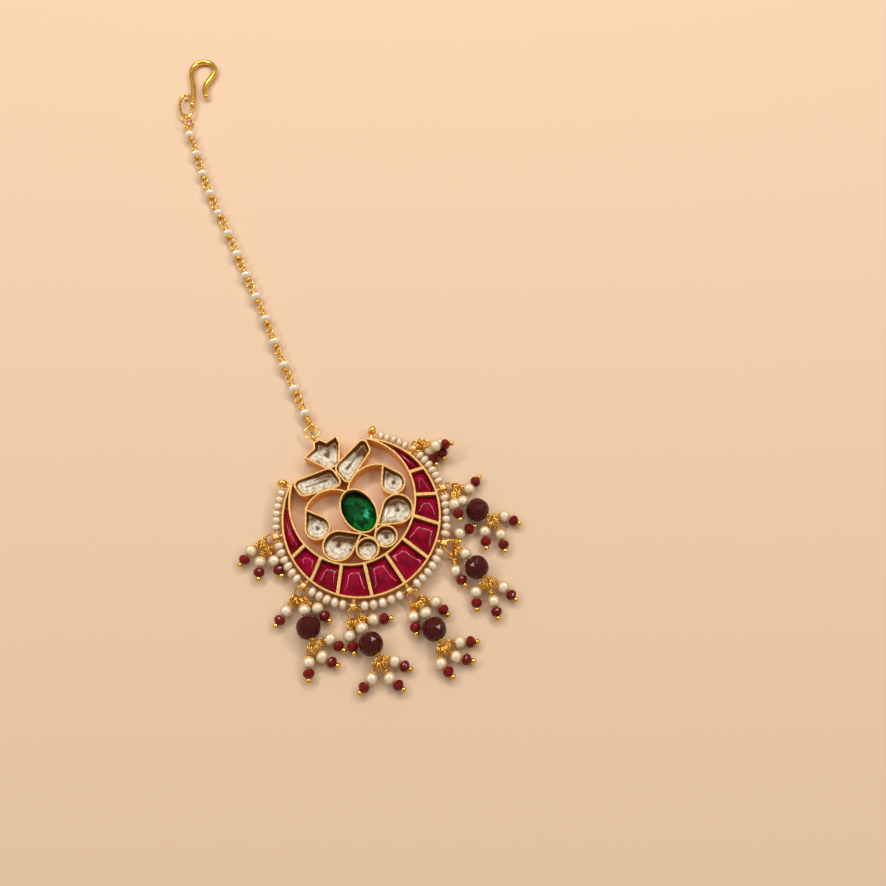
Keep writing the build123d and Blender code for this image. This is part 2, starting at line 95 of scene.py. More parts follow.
def camera():
    data = bpy.data.cameras.new("camera")
    data.lens = CAMERA_LENS
    data.sensor_width = CAMERA_SENSOR
    data.clip_start = CAMERA_NEAR
    rotation = Matrix.Identity(4)
    for angle, axis in ((CAMERA_HEADING, "Z"), (CAMERA_TILT, "X"), (CAMERA_ROLL, "Z")):
        rotation = rotation @ Matrix.Rotation(radians(angle), 4, axis)
    eye = placed("camera", data)
    eye.matrix_world = Matrix.Translation(Vector(CAMERA_PLACE) * MM) @ rotation
    bpy.context.scene.camera = eye


def lamp(name, azimuth, elevation, distance, size, power):
    """Rectangular lamp that faces the pendant."""
    data = bpy.data.lights.new(name, "AREA")
    data.shape = "RECTANGLE"
    data.size, data.size_y = size
    data.energy = power
    data.color = LAMP_COLOUR
    azimuth, elevation = radians(azimuth), radians(elevation)
    level = cos(elevation)
    away = Vector((sin(azimuth) * level, cos(azimuth) * level, sin(elevation)))
    light = placed(name, data)
    light.location = away * distance
    light.rotation_euler = away.to_track_quat("Z", "Y").to_euler()


def studio():
    """A wide panel, and narrow strips in a half circle round the same side."""
    lamp("panel", LAMP_AZIMUTH, *PANEL)
    for number, turn in enumerate(STRIP_TURNS, start=1):
        lamp(f"strip_{number}", LAMP_AZIMUTH + turn, *STRIP)


def floor():
    mesh = bpy.data.meshes.new("floor")
    corners = ((-1, -1), (1, -1), (1, 1), (-1, 1))
    mesh.from_pydata([(FLOOR_REACH * x, FLOOR_REACH * y, 0) for x, y in corners], [], [(0, 1, 2, 3)])
    plain = Finish("floor", Base_Color=(*FLOOR_COLOUR, 1), Roughness=0.9, Specular_IOR_Level=0.1)
    mesh.materials.append(plain.material)
    placed("floor", mesh)


def world():
    sky = bpy.data.worlds.new("studio")
    sky.use_nodes = True
    background = sky.node_tree.nodes["Background"]
    background.inputs["Color"].default_value = (*SKY_COLOUR, 1)
    background.inputs["Strength"].default_value = SKY_STRENGTH
    bpy.context.scene.world = sky


# ---- Materials ---------------------------------------------------------------------------------------
EMERALD_GLINT = (1.0, -1.4, 3.3)    # middle of the painted highlight, where the light catches a facet


class Finish:
    """A material with a Principled shader, and short ways to add its nodes."""

    def __init__(self, name, **values):
        self.material = bpy.data.materials.new(name)
        self.material.use_nodes = True
        self.tree = self.material.node_tree
        self.shader = self.tree.nodes["Principled BSDF"]
        for socket, value in values.items():
            self.shader.inputs[socket.replace("_", " ")].default_value = value
        self.place = self.tree.nodes.new("ShaderNodeTexCoord").outputs["Object"]

    def node(self, kind, **inputs):
        node = self.tree.nodes.new(kind)
        for socket, value in inputs.items():
            self.feed(node.inputs[socket.replace("_", " ")], value)
        return node

    def feed(self, socket, value):
        if isinstance(value, bpy.types.NodeSocket):
            self.tree.links.new(value, socket)
        else:
            socket.default_value = value

    def noise(self, size, detail=3.0):
        """Noise whose spots measure about size millimetres."""
        node = self.node("ShaderNodeTexNoise", Vector=self.place, Scale=1 / (size * MM), Detail=detail,
                         Roughness=0.55)
        return node.outputs["Fac"]

    def cells(self, size):
        """Cells about size millimetres wide, each with a value of its own."""
        node = self.node("ShaderNodeTexVoronoi", Vector=self.place, Scale=1 / (size * MM))
        return self.node("ShaderNodeSeparateColor", Color=node.outputs["Color"]).outputs["Red"]

    def island(self):
        return self.tree.nodes.new("ShaderNodeNewGeometry").outputs["Random Per Island"]

    def attribute(self, name):
        node = self.tree.nodes.new("ShaderNodeAttribute")
        node.attribute_name = name
        return node.outputs["Fac"]

    def ramp(self, factor, *stops):
        """Colour ramp with (position, colour) stops."""
        node = self.node("ShaderNodeValToRGB", Fac=factor)
        elements = node.color_ramp.elements
        while len(elements) < len(stops):
            elements.new(1)
        for element, (position, colour) in zip(elements, stops):
            element.position = position
            element.color = (*colour, 1)
        return node.outputs["Color"]

    def grey(self, factor, low, high, start=0.0, end=1.0):
        """A value that runs from low to high while the factor runs from start to end."""
        node = self.node("ShaderNodeMapRange", Value=factor, From_Min=start, From_Max=end, To_Min=low,
                         To_Max=high)
        return node.outputs["Result"]

    def plus(self, value, other):
        node = self.node("ShaderNodeMath", Value=value)
        self.feed(node.inputs[1], other)
        return node.outputs[0]

    def distance(self, place):
        """Distance in metres from a place, given in millimetres."""
        node = self.node("ShaderNodeVectorMath")
        node.operation = "DISTANCE"
        self.feed(node.inputs[0], self.place)
        self.feed(node.inputs[1], Vector(place) * MM)
        return node.outputs["Value"]

    def mix(self, factor, a, b, blend="MIX"):
        node = self.tree.nodes.new("ShaderNodeMix")
        node.data_type = "RGBA"
        node.blend_type = blend
        self.feed(node.inputs["Factor"], factor)
        # Sockets 6 and 7 are the node's two colours
        for socket, value in ((node.inputs[6], a), (node.inputs[7], b)):
            self.feed(socket, value if isinstance(value, bpy.types.NodeSocket) else (*value, 1))
        return node.outputs[2]

    def shaded(self, colour, value):
        """The colour, darker or lighter by a value."""
        tone = self.node("ShaderNodeCombineColor", Red=value, Green=value, Blue=value)
        return self.mix(1.0, colour, tone.outputs["Color"], "MULTIPLY")

    def bump(self, *layers):
        """Bump layers, each (height, strength, millimetres)."""
        normal = None
        for height, strength, depth in layers:
            node = self.node("ShaderNodeBump", Height=height, Strength=strength, Distance=depth * MM)
            if normal:
                self.feed(node.inputs["Normal"], normal)
            normal = node.outputs["Normal"]
        self.feed(self.shader.inputs["Normal"], normal)

    def colour(self, value):
        self.feed(self.shader.inputs["Base Color"], value)

    def rough(self, value):
        self.feed(self.shader.inputs["Roughness"], value)


def polished_gold():
    """Cast gold: the tops are pale and grainy, a painted highlight, and the walls a deep orange, painted
    shade from the gold's reflections of itself.
    """
    gold = Finish("polished_gold", Metallic=0.6)
    face = gold.node("ShaderNodeTexCoord").outputs["Normal"]
    upward = gold.node("ShaderNodeSeparateXYZ", Vector=face).outputs["Z"]
    tone = gold.noise(0.7, 3)
    # Painted light: upward faces get the pale colour of a painted highlight, and the walls the deep
    # orange of painted shade
    wall = gold.ramp(tone, (0.3, (0.80, 0.34, 0.04)), (0.7, (0.92, 0.46, 0.08)))
    painted_highlight_tops = gold.ramp(tone, (0.3, (0.86, 0.49, 0.15)), (0.7, (1.0, 0.71, 0.29)))
    gold.colour(gold.mix(gold.grey(upward, 0, 1, 0.75, 0.97), wall, painted_highlight_tops))
    gold.rough(gold.grey(gold.noise(0.5), 0.24, 0.4, 0.35, 0.7))
    gold.bump((gold.noise(0.45, 4), 0.22, 0.04), (gold.noise(1.8, 2), 0.35, 0.1))
    return gold.material


def wire_gold():
    """Drawn wire, smooth and satin."""
    gold = Finish("wire_gold", Metallic=1.0)
    tone = gold.noise(1.4, 2)
    gold.colour(gold.ramp(tone, (0.3, (0.82, 0.42, 0.05)), (0.7, (1.0, 0.66, 0.17))))
    gold.rough(gold.grey(gold.noise(0.4), 0.18, 0.3, 0.35, 0.7))
    gold.bump((gold.noise(0.5, 3), 0.2, 0.02),)
    return gold.material


def pearl_lustre(name, edge, dark, light):
    """Cultured pearl: a tint for each bead, golden towards its edges as a painted reflection of the gold
    and the floor, and a clear lustre.
    """
    pearl = Finish(name, Coat_Weight=1.0, Coat_Roughness=0.16, Coat_IOR=2.1)
    tint = pearl.ramp(pearl.island(), (0.0, dark), (0.5, light), (1.0, tuple(0.96 * c for c in light)))
    clouds = pearl.ramp(pearl.noise(0.9, 3), (0.35, (0.94, 0.89, 0.82)), (0.65, (1, 1, 1)))
    skin = pearl.mix(1.0, tint, clouds, "MULTIPLY")
    facing = pearl.node("ShaderNodeLayerWeight", Blend=0.5).outputs["Facing"]
    # Painted reflection: the golden edge colour grows towards the outline, where gold and floor would be
    # mirrored
    pearl.colour(pearl.mix(pearl.grey(facing, 0, 0.95, 0.12, 0.7), skin, edge))
    pearl.rough(pearl.grey(pearl.noise(0.5), 0.25, 0.38, 0.3, 0.7))
    pearl.bump((pearl.noise(0.6, 3), 0.2, 0.03),)
    return pearl.material


def ruby_inlay():
    """Crimson glass over foil: magenta in the middle of a cell, with painted shade that makes it nearly
    black at its edge, under the walls.
    """
    ruby = Finish("ruby_inlay", Specular_IOR_Level=0.0, Coat_Weight=0.4, Coat_Roughness=0.02,
                  Coat_IOR=1.45)
    depth = ruby.attribute("inset")
    body = ruby.ramp(ruby.noise(3.4, 2), (0.36, (0.16, 0.0, 0.010)), (0.64, (0.36, 0.0, 0.036)))
    # Painted shade: the stone turns nearly black towards the walls, over the first 0.12 of its inset
    ruby.colour(ruby.mix(ruby.grey(depth, 0.15, 1, 0.0, 0.12), (0.03, 0.0, 0.004), body))
    ruby.rough(ruby.grey(ruby.noise(1.2), 0.3, 0.45, 0.3, 0.7))
    ruby.bump((ruby.noise(3.2, 2), 0.2, 0.03),)
    return ruby.material


def emerald_glass():
    """Deep green stone: its back facets show as patches of green, with painted shade towards its far
    side and a painted highlight where the light catches one of them.
    """
    emerald = Finish("emerald_glass", Specular_IOR_Level=0.0, Coat_Weight=0.4, Coat_Roughness=0.02,
                     Coat_IOR=1.45)
    facets = emerald.cells(1.7)
    body = emerald.ramp(facets, (0.1, (0.0, 0.028, 0.008)), (0.5, (0.0, 0.07, 0.014)),
                        (0.9, (0.0, 0.17, 0.02)))
    # Painted shade: darker towards the far side, where the far wall shades the stone
    body = emerald.shaded(body, emerald.grey(emerald.attribute("lift"), 1.15, 0.2, 0.4, 0.88))
    # Painted highlight: a frayed patch of bright teal round the glint's middle
    fray = emerald.grey(emerald.noise(1.0, 1), -0.5 * MM, 0.5 * MM, 0.35, 0.65)
    reach = emerald.plus(emerald.distance(EMERALD_GLINT), fray)
    painted_glint = emerald.grey(reach, 0.8, 0, 0.3 * MM, 1.15 * MM)
    emerald.colour(emerald.mix(painted_glint, body, (0.03, 0.55, 0.30)))
    emerald.rough(0.25)
    emerald.bump((facets, 0.3, 0.2), (emerald.noise(1.8, 2), 0.15, 0.08))
    return emerald.material


def foil_stone():
    """Clear stone on silver foil: bright rings round a dark middle, painted shade at its edge, and above
    it the far wall's painted shade and reflection in brown.
    """
    stone = Finish("foil_stone", Specular_IOR_Level=0.0, Coat_Weight=0.5, Coat_Roughness=0.02,
                   Coat_IOR=1.5)
    warp = stone.noise(1.6, 2)
    depth = stone.plus(stone.attribute("inset"), stone.grey(warp, -0.12, 0.12, 0.3, 0.7))
    # The dark brown at the edge, depth 0, is painted shade from the walls
    foil = stone.ramp(depth, (0.0, (0.28, 0.18, 0.08)), (0.16, (0.80, 0.70, 0.54)),
                      (0.34, (0.95, 0.88, 0.74)), (0.46, (0.62, 0.52, 0.38)), (0.56, (0.93, 0.86, 0.72)),
                      (0.78, (0.86, 0.78, 0.63)), (0.92, (0.17, 0.11, 0.06)))
    foil = stone.shaded(foil, stone.grey(stone.noise(0.8, 2), 0.62, 1.1, 0.35, 0.6))
    # Painted shade and reflection of the far wall: brown over the far part of the stone
    lift = stone.plus(stone.attribute("lift"), stone.grey(warp, -0.14, 0.14, 0.3, 0.7))
    stone.colour(stone.mix(stone.grey(lift, 0, 1, 0.46, 0.7), foil, (0.12, 0.043, 0.008)))
    stone.rough(stone.grey(warp, 0.3, 0.5, 0.35, 0.7))
    stone.bump((stone.noise(2.0, 1), 0.12, 0.08),)
    return stone.material


def red_glass(name, dark, light, roughness=0.3):
    """Faceted red glass bead."""
    glass = Finish(name, Specular_IOR_Level=0.0, Coat_Weight=0.7, Coat_Roughness=0.04, Coat_IOR=1.45,
                   Roughness=roughness)
    mixed = glass.mix(glass.noise(1.1, 2), dark, light)
    tint = glass.ramp(glass.island(), (0.0, (0.75, 0.75, 0.75)), (1.0, (1.2, 1.2, 1.2)))
    glass.colour(glass.mix(1.0, mixed, tint, "MULTIPLY"))
    glass.bump((glass.noise(0.9, 2), 0.15, 0.04),)
    return glass.material


# ---- Mesh parts --------------------------------------------------------------------------------------
COIL_STEPS = 14             # points in each turn of a coil
LOOP_PLAY = 0.03            # between a loop and the wire that it holds
PEARL_WIDTHS = (0.96, 1.02)     # least and most, over the radius asked for
PEARL_LEAN = 0.05           # how much thicker one end may be
PEARL_FULLNESS = 0.92       # 1 for an ellipse, and less for a fuller outline
HOLE_SHARES = (0.8, 0.6)    # where a pearl's hole ends, over its half length, and its radius there


class Shape:
    """Points in millimetres and faces, gathered part by part into one mesh."""

    def __init__(self):
        self.points = []
        self.faces = []
        self.flat = []

    def add(self, points, faces, flat=False):
        start = len(self.points)
        self.points += points
        self.faces += [[start + i for i in face] for face in faces]
        self.flat += [flat] * len(faces)

    def rings(self, rings, closed=False, capped=True):
        """Skin over rings of equal count."""
        sides = len(rings[0])
        faces = []
        spans = len(rings) if closed else len(rings) - 1
        for k in range(spans):
            a, b = k * sides, (k + 1) % len(rings) * sides
            faces += [(a + i, a + (i + 1) % sides, b + (i + 1) % sides, b + i) for i in range(sides)]
        if capped and not closed:
            top = (len(rings) - 1) * sides
            faces += [tuple(range(sides))[::-1], tuple(top + i for i in range(sides))]
        self.add([p for ring in rings for p in ring], faces)

    def facets(self, rings, turned):
        """Flat facets over rings of equal count, each turned on by half a facet, 1, or not at all, 0."""
        sides = len(rings[0])
        faces = []
        for row, (here, beyond) in enumerate(zip(turned, turned[1:])):
            a, b = row * sides, (row + 1) * sides
            for i in range(sides):
                after = (i + 1) % sides
                if here == beyond:
                    faces.append((a + i, a + after, b + after, b + i))
                elif here < beyond:
                    faces += [(a + i, a + after, b + i), (a + after, b + after, b + i)]
                else:
                    faces += [(a + i, b + after, b + i), (a + i, a + after, b + after)]
        faces += [tuple(range(sides))[::-1], tuple(b + i for i in range(sides))]
        self.add([p for ring in rings for p in ring], faces, flat=True)

    def tube(self, route, radius, closed=False, sides=8):
        """Round wire along a route of points."""
        route = [Vector(p) for p in route]
        last = len(route) - 1
        across = None
        rings = []
        for k, here in enumerate(route):
            if closed:
                along = route[(k + 1) % len(route)] - route[k - 1]
            else:
                along = route[min(k + 1, last)] - route[max(k - 1, 0)]
            along.normalize()
            if across is None:
                across = along.orthogonal().normalized()
            across = (across - along * across.dot(along)).normalized()
            rings.append(circle(here, across, along.cross(across), radius, sides))
        if not closed:
            rings = self.rounded(route, rings)
        self.rings(rings, closed=closed)

    def coil(self, start, along, radius, pitch, turns, wire, phase=0.0):
        """Thin wire wound from a start, close round another wire."""
        along = along.normalized()
        across = Quaternion(along, phase) @ along.orthogonal().normalized()
        other = along.cross(across)
        route = []
        for k in range(int(turns * COIL_STEPS) + 1):
            t = 2 * pi * k / COIL_STEPS
            out = across * cos(t) + other * sin(t)
            route.append(start + along * (pitch * k / COIL_STEPS) + out * radius)
        self.tube(route, wire)

    @staticmethod
    def rounded(route, rings):
        """Adds a smaller ring beyond each end, so that a cut wire looks tumbled."""
        ends = []
        for centre, inner, ring in ((route[0], route[1], rings[0]), (route[-1], route[-2], rings[-1])):
            radius = (ring[0] - centre).length
            out = (centre - inner).normalized() * (0.4 * radius)
            ends.append([centre + out + (p - centre) * 0.6 for p in ring])
        return [ends[0]] + rings + [ends[1]]

    def turned(self, centre, axis, profile, sides):
        """Solid of revolution: profile rows are (along the axis, radius)."""
        axis, across, other = crossed(axis)
        self.rings([circle(centre + axis * along, across, other, radius, sides)
                    for along, radius in profile])

    def piece(self, name, material, slot, node):
        """The finished object, which stands for the named CAD node."""
        mesh = bpy.data.meshes.new(name)
        mesh.from_pydata([Vector(p) * MM for p in self.points], [], self.faces)
        mesh.polygons.foreach_set("use_smooth", [not flat for flat in self.flat])
        mesh.materials.append(material)
        mesh.validate()
        return settle(placed(name, mesh), node)


def settle(made, node):
    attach(made, "root")
    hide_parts(node)
    return made


def crossed(axis):
    """An axis and two directions across it, all of length 1."""
    axis = Vector(axis).normalized()
    across = axis.orthogonal().normalized()
    return axis, across, axis.cross(across)


def circle(centre, across, other, radius, sides, start=0.0):
    """Points round a circle, the first of them at a start in shares of a side."""
    turns = [2 * pi * (i + start) / sides for i in range(sides)]
    return [centre + (across * cos(t) + other * sin(t)) * radius for t in turns]


def heading(angle, slope=0.0):
    """Direction at an angle in degrees from +X, and down by a slope in degrees."""
    level = cos(radians(slope))
    return Vector((cos(radians(angle)) * level, sin(radians(angle)) * level, -sin(radians(slope))))


def pearl(shape, centre, axis, radius, half, hole, sides, rows):
    """Pearl, a little out of round, drilled along its axis."""
    squeeze = random.uniform(*PEARL_WIDTHS)
    lean = jitter(PEARL_LEAN)
    start = hole / radius
    depth, narrow = HOLE_SHARES[0] * half, HOLE_SHARES[1] * hole
    profile = [(-depth, narrow)]
    for k in range(rows + 1):
        turn = start + (pi - 2 * start) * k / rows
        width = radius * squeeze * sin(turn) ** PEARL_FULLNESS * (1 + lean * cos(turn))
        profile.append((-half * cos(turn), width))
    profile.append((depth, narrow))
    shape.turned(centre, axis, profile, sides)


def drop_pearl(shape, centre, axis):
    pearl(shape, centre, axis, PEARL_RADIUS, PEARL_HALF, hole=0.2, sides=28, rows=16)


def faceted(shape, centre, axis, radius, half, sides, levels):
    """Faceted bead. Each level is (share of the half length, share of the radius)."""
    axis, across, other = crossed(axis)
    turned = [row % 2 for row in range(len(levels))]
    rings = [circle(centre + axis * (half * share), across, other, radius * width, sides, 0.5 * step)
             for (share, width), step in zip(levels, turned)]
    shape.facets(rings, turned)


def ring_route(centre, axis, start, radius, count, sweep=2 * pi):
    """Points round a circle, from a start direction."""
    axis = Vector(axis).normalized()
    start = (start - axis * start.dot(axis)).normalized()
    other = axis.cross(start)
    turns = [sweep * k / count for k in range(count + (sweep < 2 * pi))]
    return [centre + (start * cos(t) + other * sin(t)) * radius for t in turns]


def any_phase():
    """Random start for a coil, in radians round its wire."""
    return random.uniform(0, 6.28)


# ---- Pendant frame and stones ------------------------------------------------------------------------
WELD = 0.0005               # corners of a CAD mesh closer than this are one
UNDERSIDE = 0.01            # depth within which a stone's corners are its underside
FRAME_EDGE = 0.11           # rounding of the frame's edges
EMERALD_EDGE = 0.06
EMERALD_SIDES = 12
# Share of the oval, height below the top (None at the base), and turn of each ring in half facets
EMERALD_RINGS = ((1.0, None, 0), (1.0, 1.25, 0), (0.84, 0.62, 1), (0.60, 0.14, 0), (0.32, 0.0, 1))
STONE_SPACING = 0.17        # between the points of a domed stone
ROW_RISE = 0.866            # from one row of staggered points to the next, over their spacing
EDGE_MARGIN = 0.55          # from the edge to the nearest of those points, over their spacing
TINY_RUN = 0.3              # shortest run of an outline, over the spacing
FAR_WALL = Vector((0.52, 0.854))    # the way that the dark far wall lies, whose shade and reflection are painted on the stones


def merged(node):
    """A node's CAD mesh as a bmesh in millimetres, with one vertex at each corner."""
    work = bmesh.new()
    work.from_mesh(frame["nodes"][node].data)
    bmesh.ops.scale(work, vec=(1 / MM, 1 / MM, 1 / MM), verts=work.verts)
    bmesh.ops.remove_doubles(work, verts=work.verts, dist=WELD)
    return work


def round_edges(made, width, segments, angle):
    """Rounds the edges that are sharper than an angle in degrees."""
    bevel = made.modifiers.new("edges", "BEVEL")
    bevel.width = width * MM
    bevel.segments = segments
    bevel.limit_method = "ANGLE"
    bevel.angle_limit = radians(angle)
    return bevel


def pendant_frame(material):
    """The soldered frame, with its sharp edges rounded."""
    work = merged("pendant_frame")
    bmesh.ops.dissolve_limit(work, angle_limit=radians(1.0), verts=work.verts, edges=work.edges)
    bmesh.ops.scale(work, vec=(MM, MM, MM), verts=work.verts)
    mesh = bpy.data.meshes.new("soldered_frame")
    work.to_mesh(mesh)
    work.free()
    mesh.polygons.foreach_set("use_smooth", [True] * len(mesh.polygons))
    mesh.materials.append(material)
    made = placed("soldered_frame", mesh)
    bevel = round_edges(made, FRAME_EDGE, 3, 40)
    bevel.use_clamp_overlap = False
    bevel.miter_outer = "MITER_ARC"
    normals = made.modifiers.new("normals", "WEIGHTED_NORMAL")
    normals.keep_sharp = False
    settle(made, "pendant_frame")


def outline(node):
    """Corners of a stone's underside in order, and the heights of its underside and top."""
    work = merged(node)
    heights = [v.co.z for v in work.verts]
    low, high = min(heights), max(heights)
    under = {f for f in work.faces if all(v.co.z < low + UNDERSIDE for v in f.verts)}
    rim = [e for e in work.edges if sum(f in under for f in e.link_faces) == 1]
    neighbours = {}
    for edge in rim:
        a, b = edge.verts
        neighbours.setdefault(a, []).append(b)
        neighbours.setdefault(b, []).append(a)
    first = rim[0].verts[0]
    loop = [first, neighbours[first][0]]
    while len(loop) < len(rim):
        a, b = neighbours[loop[-1]]
        loop.append(a if b is loop[-2] else b)
    points = [Vector((v.co.x, v.co.y)) for v in loop]
    work.free()
    area = sum(a.x * b.y - b.x * a.y for a, b in zip(points, points[1:] + points[:1]))
    return (points if area > 0 else points[::-1]), low, high


def resampled(points):
    """The outline with no run longer than the stones' spacing and no tiny one."""
    tiny = TINY_RUN * STONE_SPACING
    kept = []
    for a, b in zip(points, points[1:] + points[:1]):
        run = (b - a).length
        if kept and (a - kept[-1]).length < tiny and run > tiny:
            continue
        count = max(1, round(run / STONE_SPACING))
        kept += [a.lerp(b, k / count) for k in range(count)]
    return kept


def distance_to(points, place):
    """Distance from a place to the nearest side of an outline."""
    sides = []
    for a, b in zip(points, points[1:] + points[:1]):
        side = b - a
        share = max(0, min(1, (place - a).dot(side) / side.length_squared))
        sides.append((place - a - side * share).length)
    return min(sides)


def inside(points, place):
    """Whether a place lies in an outline, from how many sides run past it on the right."""
    odd = False
    for a, b in zip(points, points[1:] + points[:1]):
        if (a.y > place.y) != (b.y > place.y):
            crossing = (b.x - a.x) * (place.y - a.y) / (b.y - a.y) + a.x
            odd ^= place.x < crossing
    return odd


def grid_inside(edge):
    """Staggered points inside an outline, clear of its edge."""
    xs, ys = [p.x for p in edge], [p.y for p in edge]
    rise = ROW_RISE * STONE_SPACING
    rows = int((max(ys) - min(ys)) / rise) + 1
    columns = int((max(xs) - min(xs)) / STONE_SPACING) + 1
    margin = EDGE_MARGIN * STONE_SPACING
    places = []
    for row in range(rows):
        for column in range(columns):
            x = min(xs) + (column + 0.5 * (row % 2)) * STONE_SPACING
            place = Vector((x, min(ys) + rise * row))
            if inside(edge, place) and distance_to(edge, place) > margin:
                places.append(place)
    return places


def relaxed(values, faces, fixed, passes):
    """Values evened out between neighbours, except for the first, fixed ones."""
    neighbours = [set() for _ in values]
    for face in faces:
        for i in face:
            neighbours[i].update(face)
    for _ in range(passes):
        values = [v if i < fixed else sum(values[j] for j in neighbours[i]) / len(neighbours[i])
                  for i, v in enumerate(values)]
    return values


def domed_stone(name, node, material, slot, bevel, drop, passes):
    """Stone cut to its cell: a flat top that curves down to the edge, evened out in some passes."""
    edge, low, high = outline(node)
    edge = resampled(edge)
    sides = [(k, (k + 1) % len(edge)) for k in range(len(edge))]
    flat, _, faces, *_ = geometry.delaunay_2d_cdt(edge + grid_inside(edge), sides, [], 1, 1e-5)
    reach = [distance_to(edge, p) for p in flat]
    deepest = max(reach)
    width = min(bevel, 0.95 * deepest)
    heights = [high - drop * max(0, 1 - r / width) ** 2 for r in reach]
    heights = relaxed(heights, faces, len(edge), passes)
    # The passes lower the top, and this brings it back
    rim = high - drop
    swell = drop / (max(heights) - rim)
    top = [Vector((p.x, p.y, rim + swell * (h - rim))) for p, h in zip(flat, heights)]
    shape = Shape()
    shape.add(top, [tuple(f) for f in faces])
    rims = [[Vector((p.x, p.y, z)) for p in edge] for z in (low, rim)]
    shape.rings(rims, capped=False)
    shape.add(rims[0], [tuple(range(len(edge)))[::-1]])
    made = shape.piece(name, material, slot, node)
    # The inset mark is also the mask of the painted shade at the stones' edges
    mark_points(made, "inset", [min(r / deepest, 1) for r in reach] + [0.0] * (3 * len(edge)))
    mark_lift(made)


def mark_points(made, name, values):
    mark = made.data.attributes.new(name, "FLOAT", "POINT")
    mark.data.foreach_set("value", values)


def mark_lift(made):
    """Marks how far each point lies across the piece, from its near side, 0, to its far side, 1: the
    mask of the painted shade from the far wall.
    """
    across = [v.co.x * FAR_WALL.x + v.co.y * FAR_WALL.y for v in made.data.vertices]
    low, high = min(across), max(across)
    mark_points(made, "lift", [(a - low) / (high - low) for a in across])


def emerald_stone(material):
    """Oval stone with a table, two rows of crown facets and a girdle."""
    low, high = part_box("emerald")
    middle = (low + high) / (2 * MM)
    half = (high - low) / (2 * MM)
    rings = []
    for share, drop, step in EMERALD_RINGS:
        height = low.z / MM if drop is None else high.z / MM - drop
        turns = [2 * pi * (i + 0.5 * step) / EMERALD_SIDES for i in range(EMERALD_SIDES)]
        oval = [(middle.x + half.x * share * cos(t), middle.y + half.y * share * sin(t)) for t in turns]
        rings.append([Vector((x, y, height)) for x, y in oval])
    shape = Shape()
    shape.facets(rings, [step for _, _, step in EMERALD_RINGS])
    made = shape.piece("emerald_cut", material, "emerald", "emerald")
    round_edges(made, EMERALD_EDGE, 2, 8)
    mark_lift(made)


# ---- Rim: loops and seed pearls ----------------------------------------------------------------------
OUTER_CENTRE = Vector((0.0, -1.25))
OUTER_RADII = (18.5, 17.6)  # along the outer rim's long axis, and across it
LONG_AXIS = 60              # degrees from +X
LOOP_HEIGHT = 2.2
# Degrees from +X, and distance out from the rim
LOOPS = (
    (125.8, 2.2), (163.1, 1.85), (201.4, 1.85), (235.6, 1.85), (272.0, 1.85),
    (310.5, 1.85), (349.2, 1.85), (384.0, 1.85), (414.3, 2.6),
)
PEARLS_BETWEEN = (6, 6, 5, 5, 6, 6, 6, 5)
SEED_RADIUS = 1.2
SEED_SHARE = 0.52           # half a pearl's length, over its share of the wire
SEED_HOLE = 0.24
SEED_OUT = 1.6              # from the rim's wall to the wire
SEED_PLAY = 0.48            # from the middle of a loop's bore in to the wire
SEED_WIRE = 0.15
SEED_SIZES = (0.95, 1.02)
SEED_SCATTER = 0.06         # in and out, at most
SEED_TURN = 7               # degrees off the wire, at most, seen from above
SEED_TIP = 5                # degrees up or down, at most
LOOP_CLEARANCE = 1.3        # from the middle of a loop to its nearest pearl
# The string's wire turned back on itself where it leaves the last loop, and the cap over it
TWIST_START = 0.1
TWIST_RADIUS = 0.24
TWIST_PITCH = 0.26
TWIST_TURNS = 2.2
TWIST_WIRE = 0.13
CAP_RADIUS = 1.3
CAP_HALF = 0.9
CAP_HOLE = 0.3


def rim_point(angle, out):
    """Point at an angle in degrees, out from the middle of the outer rim's wall."""
    turn = radians(angle - LONG_AXIS)
    reach = 1 / hypot(cos(turn) / OUTER_RADII[0], sin(turn) / OUTER_RADII[1]) + out
    x = OUTER_CENTRE.x + reach * cos(radians(angle))
    y = OUTER_CENTRE.y + reach * sin(radians(angle))
    return Vector((x, y, LOOP_HEIGHT))


def rim_pearls(pearl_material, gold_material):
    """Seed pearls on a wire that runs through the bores of the rim's loops."""
    beads = Shape()
    route = []
    clear = LOOP_CLEARANCE / radians(1) / OUTER_RADII[0]
    last = len(LOOPS) - 1
    for number, (angle, out) in enumerate(LOOPS):
        at_horn = number in (0, last)
        route.append(rim_point(angle, out if at_horn else out - SEED_PLAY))
        if number == last:
            break
        count = PEARLS_BETWEEN[number]
        spacing = (LOOPS[number + 1][0] - angle - 2 * clear) / count
        half = SEED_SHARE * radians(spacing) * (OUTER_RADII[1] + SEED_OUT)
        for k in range(count):
            stop = angle + clear + spacing * (k + 0.5)
            place = rim_point(stop, SEED_OUT + jitter(SEED_SCATTER))
            along = heading(stop + 90 + jitter(SEED_TURN), jitter(SEED_TIP))
            size = random.uniform(*SEED_SIZES)
            pearl(beads, place, along, SEED_RADIUS * size, half * size, SEED_HOLE, sides=24, rows=14)
            route.append(place)
    beads.piece("rim_pearls", pearl_material, "pearl", "rim_pearl_string")
    wire = Shape()
    wire.tube(smooth_route(route, 4), SEED_WIRE)
    for end, inner in ((route[0], route[1]), (route[-1], route[-2])):
        along = (end - inner).normalized()
        start = end + along * TWIST_START
        wire.coil(start, along, TWIST_RADIUS, TWIST_PITCH, TWIST_TURNS, TWIST_WIRE)
        pearl(wire, end, along, CAP_RADIUS, CAP_HALF, CAP_HOLE, sides=24, rows=12)
    wire.piece("rim_wire", gold_material, "gold", "rim_pearl_string")


def smooth_route(points, count):
    """Points on a curve through all the given ones."""
    made = []
    ends = [points[0]] + list(points) + [points[-1]]
    for a, b, c, d in zip(ends, ends[1:], ends[2:], ends[3:]):
        for k in range(count):
            t = k / count
            made.append(0.5 * (2 * b + (c - a) * t + (2 * a - 5 * b + 4 * c - d) * t ** 2
                               + (3 * b - a - 3 * c + d) * t ** 3))
    return made + [points[-1]]


